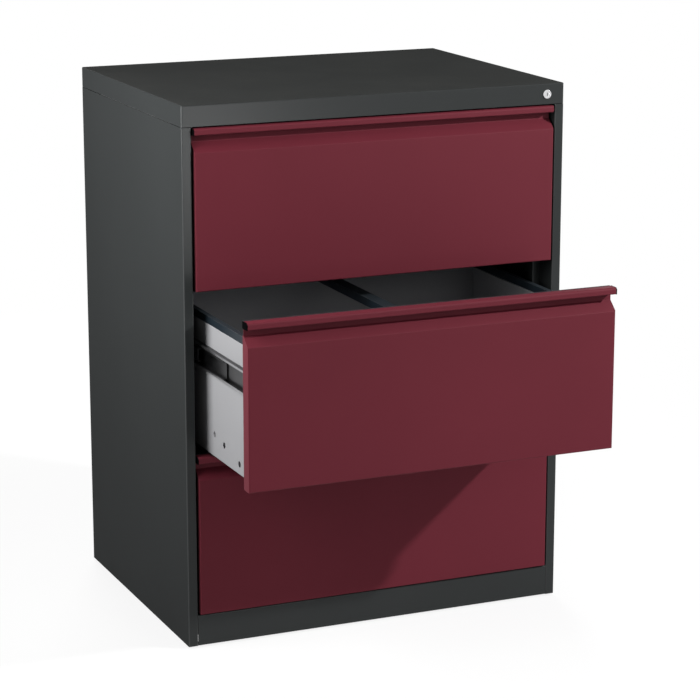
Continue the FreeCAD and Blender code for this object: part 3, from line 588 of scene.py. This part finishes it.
class CABINET_OT_case(bpy.types.Operator):
    """Coat the case panels in anthracite"""

    bl_idname = "cabinet.case"
    bl_label = "Coat Case"

    smoothness = 0.235
    paint = {"roughness": smoothness, "dust": 0.12, "edge_lift": 0.05, "specular": 0.0, "peel_depth": 0.00001}
    # How strongly the highlight is painted on the upright bends
    bend_highlight_strength = 0.12
    sheen_facing = (0.1, 0.5)
    sheen_weights = (0.30, 0.076)

    def execute(self, context):
        finishes = context.scene.cabinet_finishes
        coat = painted("Anthracite powder coat", finishes.case_colour, finishes, **self.paint)
        # Paint a highlight on the upright bends
        self.paint_bend_highlights(coat, finishes)
        # Paint shade into the seams between the case panels
        paint_shade_in_hollows(coat, finishes, finishes.seam_shade_reach, finishes.seam_shade_strength)
        self.add_sheen(coat)
        dress(CASE_PANELS, coat)
        return {"FINISHED"}

    def paint_bend_highlights(self, coat, finishes):
        """A painted highlight: a lighter colour laid on the upright bends."""
        tree = coat.node_tree
        bend = find_group(tree, "Soft edge").outputs["Bend"]
        lift = compute(tree, "MULTIPLY", bend, self.bend_highlight_strength)
        overlay_colour(tree, lift, finishes.bend_highlight_colour, "SCREEN")

    def add_sheen(self, coat):
        """A soft sheen, strongest from in front; dust takes it off upward faces."""
        tree = coat.node_tree
        facing = add_node(tree, "ShaderNodeLayerWeight").outputs["Facing"]
        upward = find_group(tree, "Settled dust").outputs["Upward"]
        sheen = spread(tree, facing, self.sheen_facing, self.sheen_weights)
        clean = spread(tree, upward, FULL, INVERSE)
        shader = find_node(tree, "BSDF_PRINCIPLED")
        tree.links.new(compute(tree, "MULTIPLY", sheen, clean), shader.inputs["Coat Weight"])
        shader.inputs["Coat Roughness"].default_value = self.smoothness


class CABINET_OT_fronts(bpy.types.Operator):
    """Coat the drawer fronts in wine red"""

    bl_idname = "cabinet.fronts"
    bl_label = "Coat Fronts"

    paint = {"edge_lift": 0.05, "specular": 0.12}
    # The painted shade in the grip's recess and folds: how far it reaches and how dark it is
    hollow_shade_reach = 0.025
    hollow_shade_strength = 0.9

    def execute(self, context):
        finishes = context.scene.cabinet_finishes
        coat = painted("Wine red powder coat", finishes.front_colour, finishes, **self.paint)
        # Paint shade into the grip's recess and the folds of the fronts
        paint_shade_in_hollows(coat, finishes, self.hollow_shade_reach, self.hollow_shade_strength)
        dress(drawer_nodes("front"), coat)
        return {"FINISHED"}


class CABINET_OT_boxes(bpy.types.Operator):
    """Paint the drawer boxes light grey and the hanging rails blue-black"""

    bl_idname = "cabinet.boxes"
    bl_label = "Paint Boxes and Rails"

    box_paint = {"dust": 0.12, "tone": 0.03}
    rail_paint = {"roughness": 0.38, "dust": 0.06, "edge_lift": 0.5}

    def execute(self, context):
        finishes = context.scene.cabinet_finishes
        boxes = painted("Light grey paint", finishes.box_colour, finishes, **self.box_paint)
        rails = painted("Blue-black paint", finishes.rail_colour, finishes, **self.rail_paint)
        dress(drawer_nodes(*BOX_PIECES), boxes)
        dress(drawer_nodes(*RAIL_PIECES), rails)
        return {"FINISHED"}


class CABINET_OT_slides(bpy.types.Operator):
    """Plate the telescopic slides, the frame steel and the catches"""

    bl_idname = "cabinet.slides"
    bl_label = "Plate Slides"

    lip_depth = 0.0013
    frame_dulling = 0.05
    cage_roughness = 0.25

    def execute(self, context):
        finishes = context.scene.cabinet_finishes
        black = plated("Black plate", finishes.slide_colour, finishes.plate_roughness)
        dress(drawer_nodes(*SLIDE_PIECES), black)
        dress(drawer_nodes("slide_inner_members"), self.bright_lipped(finishes))
        frame_roughness = finishes.plate_roughness + self.frame_dulling
        upright = plated("Zinc plate", finishes.plate_colour, frame_roughness, LINES_UPRIGHT)
        # Paint shade into the seams and hollows of the frame steel
        paint_shade_in_hollows(upright, finishes, finishes.seam_shade_reach, finishes.seam_shade_strength)
        dress(FRAME_STEEL, upright)
        dress(drawer_nodes("lock_catch"), upright)
        dress(drawer_nodes(*CAGE_PIECES), plated("Bright strip", finishes.cage_colour, self.cage_roughness))
        return {"FINISHED"}

    def bright_lipped(self, finishes):
        """Black plate, in a lighter colour on the lips along the members' outer edges."""
        material = plated("Black plate with bright lips", finishes.slide_colour, finishes.plate_roughness)
        tree = material.node_tree
        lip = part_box("middle_slide_inner_members")[1].x - self.lip_depth
        across = compute(tree, "ABSOLUTE", separate(tree, object_coordinates(tree))["X"])
        outside = compute(tree, "GREATER_THAN", across, lip)
        shade = blend_colour(tree, outside, rgba(finishes.slide_colour), rgba(finishes.lip_colour))
        tree.links.new(shade, find_group(tree, "Plated steel").inputs["Colour"])
        return material


class CABINET_OT_lock(bpy.types.Operator):
    """Finish the lock's turned face, its plug and the pieces behind it"""

    bl_idname = "cabinet.lock"
    bl_label = "Finish Lock"

    edge_radius = 0.0003
    rings = {"Scale": 900.0, "Distortion": 1.5, "Detail": 2.0}
    ring_depth = 0.000006
    smears = {"scale": 260.0, "detail": 3.0, "roughness": 0.6}
    smear_range = (0.3, 0.8)
    smear_cover = (0.0, 0.25)
    dull_range = (0.3, 0.75)
    dull_roughness = (0.10, 0.24)
    steel_roughness = 0.4
    steel_stretch = (500.0, 500.0, 500.0)

    def execute(self, context):
        finishes = context.scene.cabinet_finishes
        low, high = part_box("lock_plug")
        centre = (low + high) / 2
        dress(("lock_housing", "lock_plug"), self.turned_chrome(finishes, centre))
        steel = plated("Lock steel", finishes.lock_colour, self.steel_roughness, self.steel_stretch)
        dress(("lock_nut", "lock_cam"), steel)
        return {"FINISHED"}

    def turned_chrome(self, finishes, centre):
        """Chrome with fine turning rings about the lock's axis."""
        material, tree, shader = new_material("Turned chrome")
        edge = place_group(tree, "Soft edge", {"Radius": self.edge_radius}).outputs
        centred = {"Vector": object_coordinates(tree), "Location": -centre}
        place = add_node(tree, "ShaderNodeMapping", centred).outputs["Vector"]
        turning = {"Vector": place, **self.rings}
        wave = add_node(tree, "ShaderNodeTexWave", turning, wave_type="RINGS", rings_direction="Y")
        smear = noise(tree, place, **self.smears)
        cover = spread(tree, smear, self.smear_range, self.smear_cover)
        shade = blend_colour(tree, cover, rgba(finishes.chrome_colour), rgba(finishes.smear_colour))
        rough = spread(tree, smear, self.dull_range, self.dull_roughness)
        feed_shader(tree, shader, shade, rough, wave.outputs["Fac"], self.ring_depth, edge["Normal"])
        shader.inputs["Metallic"].default_value = 1.0
        return material


class CABINET_OT_plastics(bpy.types.Operator):
    """Finish the moulded grip caps, bar guides and levelling feet"""

    bl_idname = "cabinet.plastics"
    bl_label = "Finish Plastics"

    moulding = {
        "roughness": 0.55,
        "grain": 1400.0,
        "tone": 0.08,
        "edge_lift": 0.02,
        "specular": 0.0,
        "peel_depth": 0.00003,
    }

    def execute(self, context):
        finishes = context.scene.cabinet_finishes
        plastic = painted("Black plastic", finishes.plastic_colour, finishes, **self.moulding)
        dress(drawer_nodes("grip_caps"), plastic)
        dress(("lock_bar_guides", "levelling_feet"), plastic)
        return {"FINISHED"}


class CABINET_OT_screws(bpy.types.Operator):
    """Add the screws that hold each slide to its drawer wall and each front to its box"""

    bl_idname = "cabinet.screws"
    bl_label = "Add Screws"

    head_sides = 32
    rim_share = 0.99
    round_share = 0.6
    round_steps = 4
    cross_share = 0.55
    smooth_angle = math.radians(35)
    plate_roughness = 0.3
    plate_stretch = (600.0, 600.0, 600.0)
    slide_shares = (0.08, 0.5, 0.92)
    front_width_share = 0.9
    front_height_shares = (0.25, 0.72)

    def execute(self, context):
        sizes = context.scene.cabinet_fastenings
        finishes = context.scene.cabinet_finishes
        master = self.model_head(sizes.screw_diameter, sizes.screw_height, sizes.recess_width)
        plate = plated("Screw plate", finishes.plate_colour, self.plate_roughness, self.plate_stretch)
        for drawer in DRAWERS:
            self.slide_screws(drawer, master, sizes, plate)
            self.front_screws(drawer, master, plate)
        remove(master)
        return {"FINISHED"}

    def model_head(self, diameter, height, recess):
        """A pan head with a cross recess, its axis along +Z and its seat at the origin."""
        bpy.ops.object.select_all(action="DESELECT")
        bpy.ops.mesh.primitive_cylinder_add(
            vertices=self.head_sides, radius=diameter / 2, depth=height, location=(0, 0, height / 2))
        head = bpy.context.object
        settle(head)
        bpy.ops.object.mode_set(mode="EDIT")
        bpy.ops.mesh.select_all(action="DESELECT")
        bpy.ops.object.mode_set(mode="OBJECT")
        rim = height * self.rim_share
        for edge in head.data.edges:
            edge.select = all(head.data.vertices[end].co.z > rim for end in edge.vertices)
        bpy.ops.object.mode_set(mode="EDIT")
        bpy.ops.mesh.bevel(offset=height * self.round_share, segments=self.round_steps)
        bpy.ops.object.mode_set(mode="OBJECT")
        for turn in (0.0, math.pi / 2):
            self.cut_slot(head, turn, (recess, diameter * self.cross_share, height))
        only(head)
        bpy.ops.object.shade_smooth_by_angle(angle=self.smooth_angle)
        return head

    def cut_slot(self, head, turn, size):
        """One slot of the cross, as deep as half the head's height."""
        bpy.ops.object.select_all(action="DESELECT")
        bpy.ops.mesh.primitive_cube_add(size=1.0, location=(0, 0, size[2]), rotation=(0, 0, turn))
        cutter = bpy.context.object
        cutter.scale = size
        settle(cutter)
        only(head)
        cross = head.modifiers.new("Cross", "BOOLEAN")
        cross.operation = "DIFFERENCE"
        cross.object = cutter
        bpy.ops.object.modifier_apply(modifier=cross.name)
        remove(cutter)

    def slide_screws(self, drawer, master, sizes, plate):
        """A row inside each drawer wall, at the height of the slide behind it."""
        low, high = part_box(f"{drawer}_slide_inner_members")
        level = (low.z + high.z) / 2
        for side, inward in (("left", 1), ("right", -1)):
            wall_low, wall_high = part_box(f"{drawer}_side_{side}")
            outer = wall_low.x if inward > 0 else wall_high.x
            face = outer + inward * sizes.box_sheet
            places = [(face, low.y + (high.y - low.y) * share, level) for share in self.slide_shares]
            name = f"{drawer}_slide_screws_{side}"
            set_out(master, name, places, (inward, 0, 0), f"{drawer}_drawer", plate)

    def front_screws(self, drawer, master, plate):
        """Two near each end of the front's liner."""
        low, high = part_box(f"{drawer}_front_liner")
        places = [
            (side * high.x * self.front_width_share, high.y, low.z + (high.z - low.z) * share)
            for side in (-1, 1)
            for share in self.front_height_shares
        ]
        set_out(master, f"{drawer}_front_screws", places, (0, 1, 0), f"{drawer}_drawer", plate)


class CABINET_OT_rivets(bpy.types.Operator):
    """Add the rivets down the rear edges of the case"""

    bl_idname = "cabinet.rivets"
    bl_label = "Add Rear Rivets"

    head_sides = 24
    head_rings = 12
    smooth_angle = math.radians(50)
    end_share = 0.05
    paint = {"specular": 0.06}

    def execute(self, context):
        sizes = context.scene.cabinet_fastenings
        finishes = context.scene.cabinet_finishes
        master = self.model_head(sizes.rivet_diameter, sizes.rivet_height)
        low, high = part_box("back_panel")
        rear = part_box("side_panel_left")[1].y
        step = (1 - 2 * self.end_share) / (sizes.rear_rivets - 1)
        shares = [self.end_share + step * i for i in range(sizes.rear_rivets)]
        heights = [low.z + (high.z - low.z) * share for share in shares]
        across = high.x - sizes.rivet_inset
        places = [(side * across, rear, height) for side in (-1, 1) for height in heights]
        coat = painted("Rivet paint", finishes.case_colour, finishes, **self.paint)
        set_out(master, "rear_rivets", places, (0, 1, 0), "case", coat)
        remove(master)
        return {"FINISHED"}

    def model_head(self, diameter, height):
        """A low dome, its axis along +Z and its seat at the origin."""
        radius = diameter / 2
        bpy.ops.object.select_all(action="DESELECT")
        bpy.ops.mesh.primitive_uv_sphere_add(
            segments=self.head_sides, ring_count=self.head_rings, radius=radius)
        head = bpy.context.object
        bpy.ops.object.mode_set(mode="EDIT")
        bpy.ops.mesh.select_all(action="SELECT")
        bpy.ops.mesh.bisect(plane_co=(0, 0, 0), plane_no=(0, 0, 1), use_fill=True, clear_inner=True)
        bpy.ops.object.mode_set(mode="OBJECT")
        head.scale = (1.0, 1.0, height / radius)
        settle(head)
        bpy.ops.object.shade_smooth_by_angle(angle=self.smooth_angle)
        return head


class CABINET_OT_stage(bpy.types.Operator):
    """Lay the floor, hang the lamps and set up the camera"""

    bl_idname = "cabinet.stage"
    bl_label = "Set Stage"

    def execute(self, context):
        studio = context.scene.cabinet_studio
        context.scene.view_settings.view_transform = "Standard"
        self.lay_floor(studio)
        self.light_sky(context.scene, studio)
        middle = (CAD_BOX[0] + CAD_BOX[1]) / 2
        upper = Vector((middle.x, middle.y, studio.fill_aim))
        self.hang_lamp("Key", studio.key_place, middle, studio.key_power, studio.key_size)
        self.hang_lamp("Fill", studio.fill_place, upper, studio.fill_power, studio.fill_size)
        self.hang_lamp("Front", studio.front_place, middle, studio.front_power, studio.front_size)
        self.hang_lamp("Low", studio.low_place, middle, studio.low_power, studio.low_size)
        self.hang_lamp("Rear", studio.rear_place, middle, studio.rear_power, studio.rear_size)
        self.set_camera(context.scene, studio)
        return {"FINISHED"}

    def seen(self, tree):
        """1 for rays from the camera, and for those that shiny and clear surfaces send on."""
        path = add_node(tree, "ShaderNodeLightPath").outputs
        shiny = compute(tree, "MAXIMUM", path["Is Glossy Ray"], path["Is Transmission Ray"])
        return compute(tree, "MAXIMUM", path["Is Camera Ray"], shiny)

    def lay_floor(self, studio):
        """A wide plane just below the feet."""
        bpy.ops.object.select_all(action="DESELECT")
        level = CAD_BOX[0].z - studio.floor_gap
        bpy.ops.mesh.primitive_plane_add(size=studio.floor_size, location=(0, 0, level))
        floor = bpy.context.object
        floor.name = "floor"
        settle(floor)
        floor.data.materials.append(self.white_floor(studio))

    def white_floor(self, studio):
        """White where it is seen, with the cabinet's shadow, and grey in the light it sends back."""
        material, tree, shader = new_material("White floor")
        tone = spread(tree, self.seen(tree), FULL, (studio.floor_bounce, studio.floor_tone))
        tree.links.new(tone, shader.inputs["Base Color"])
        shader.inputs["Roughness"].default_value = studio.floor_roughness
        glow = add_node(tree, "ShaderNodeEmission", {"Color": WHITE, "Strength": 1.0})
        away = compute_vector(tree, "LENGTH", object_coordinates(tree))["Value"]
        whitened = spread(tree, away, (studio.floor_near, studio.floor_far), (studio.floor_glow, 1.0))
        share = compute(tree, "MULTIPLY", self.seen(tree), whitened)
        mixed = add_node(tree, "ShaderNodeMixShader", {0: share, 1: shader.outputs[0], 2: glow.outputs[0]})
        tree.links.new(mixed.outputs[0], find_node(tree, "OUTPUT_MATERIAL").inputs["Surface"])
        return material

    def light_sky(self, scene, studio):
        """Dim light from all around, which shows as white."""
        scene.world = bpy.data.worlds.new("Studio")
        scene.world.use_nodes = True
        tree = scene.world.node_tree
        tree.nodes.clear()
        strength = spread(tree, self.seen(tree), FULL, (studio.sky_strength, 1.0))
        sky = add_node(tree, "ShaderNodeBackground", {"Color": WHITE, "Strength": strength})
        output = add_node(tree, "ShaderNodeOutputWorld")
        tree.links.new(sky.outputs["Background"], output.inputs["Surface"])

    def hang_lamp(self, name, place, target, power, size):
        """A square lamp that points at a target."""
        lamp = bpy.data.lights.new(name, "AREA")
        lamp.energy = power
        lamp.shape = "SQUARE"
        lamp.size = size
        hung = bpy.data.objects.new(name, lamp)
        bpy.context.scene.collection.objects.link(hung)
        hung.location = place
        hung.rotation_euler = (target - Vector(place)).to_track_quat("-Z", "Y").to_euler()

    def set_camera(self, scene, studio):
        """The camera at its place, turned, tilted and rolled."""
        lens = bpy.data.cameras.new("Camera")
        lens.lens = studio.camera_lens
        camera = bpy.data.objects.new("Camera", lens)
        scene.collection.objects.link(camera)
        turn = Matrix.Rotation(-studio.camera_azimuth, 4, "Z")
        turn = turn @ Matrix.Rotation(math.pi / 2 - studio.camera_tilt, 4, "X")
        turn = turn @ Matrix.Rotation(studio.camera_roll, 4, "Z")
        camera.matrix_world = Matrix.Translation(studio.camera_place) @ turn
        scene.camera = camera


OPERATORS = (
    CABINET_OT_case,
    CABINET_OT_fronts,
    CABINET_OT_boxes,
    CABINET_OT_slides,
    CABINET_OT_lock,
    CABINET_OT_plastics,
    CABINET_OT_screws,
    CABINET_OT_rivets,
    CABINET_OT_stage,
)


class CABINET_PT_panel(bpy.types.Panel):
    """The cabinet's operators and settings"""

    bl_idname = "CABINET_PT_panel"
    bl_label = "Filing Cabinet"
    bl_space_type = "VIEW_3D"
    bl_region_type = "UI"
    bl_category = "Cabinet"

    def draw(self, context):
        scene = context.scene
        for operator in OPERATORS:
            self.layout.operator(operator.bl_idname)
        for settings in (scene.cabinet_finishes, scene.cabinet_fastenings, scene.cabinet_studio):
            box = self.layout.box()
            for name in settings.__annotations__:
                box.prop(settings, name)


CLASSES = (CabinetFinishes, CabinetFastenings, CabinetStudio, *OPERATORS, CABINET_PT_panel)


def register():
    for item in CLASSES:
        bpy.utils.register_class(item)
    bpy.types.Scene.cabinet_finishes = PointerProperty(type=CabinetFinishes)
    bpy.types.Scene.cabinet_fastenings = PointerProperty(type=CabinetFastenings)
    bpy.types.Scene.cabinet_studio = PointerProperty(type=CabinetStudio)


def unregister():
    del bpy.types.Scene.cabinet_studio
    del bpy.types.Scene.cabinet_fastenings
    del bpy.types.Scene.cabinet_finishes
    for item in reversed(CLASSES):
        bpy.utils.unregister_class(item)


def main():
    register()
    bpy.ops.cabinet.case()
    bpy.ops.cabinet.fronts()
    bpy.ops.cabinet.boxes()
    bpy.ops.cabinet.slides()
    bpy.ops.cabinet.lock()
    bpy.ops.cabinet.plastics()
    bpy.ops.cabinet.screws()
    bpy.ops.cabinet.rivets()
    bpy.ops.cabinet.stage()


if __name__ == "__main__":
    main()
